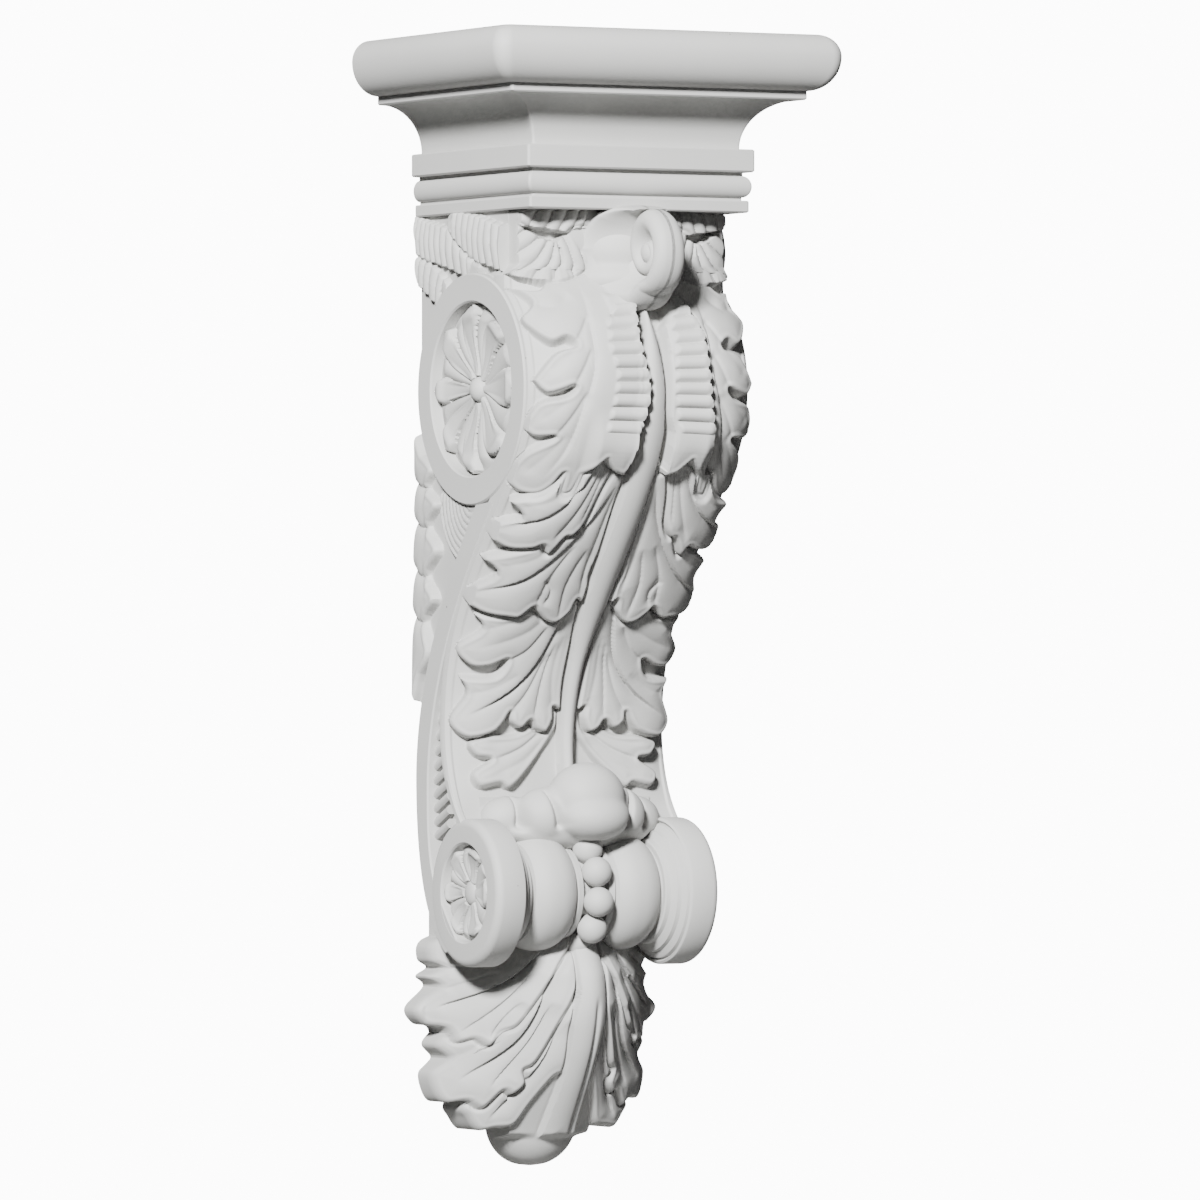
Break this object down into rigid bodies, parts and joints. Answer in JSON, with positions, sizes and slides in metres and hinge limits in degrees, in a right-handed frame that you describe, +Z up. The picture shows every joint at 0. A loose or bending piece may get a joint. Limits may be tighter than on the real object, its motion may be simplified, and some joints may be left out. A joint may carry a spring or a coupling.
{
  "type": "acanthus corbel",
  "caption": "Tall wall corbel: a moulded cap on an S-scroll bracket with rosettes, acanthus leaves, a beaded roll and a hanging leaf.",
  "frame": {"origin": "on the flat back face that meets the wall, on the centre line and half way up", "axes": "+Z up; +Y into the wall, so the corbel stands out towards -Y; +X to the right of someone facing the wall"},
  "size_m": [0.2228, 0.1818, 0.646],
  "materials": {
    "primed_foam": "matt factory primer on smooth cast foam"
  },
  "bodies": {
    "root": {"corbel": "primed_foam"}
  },
  "joints": []
}
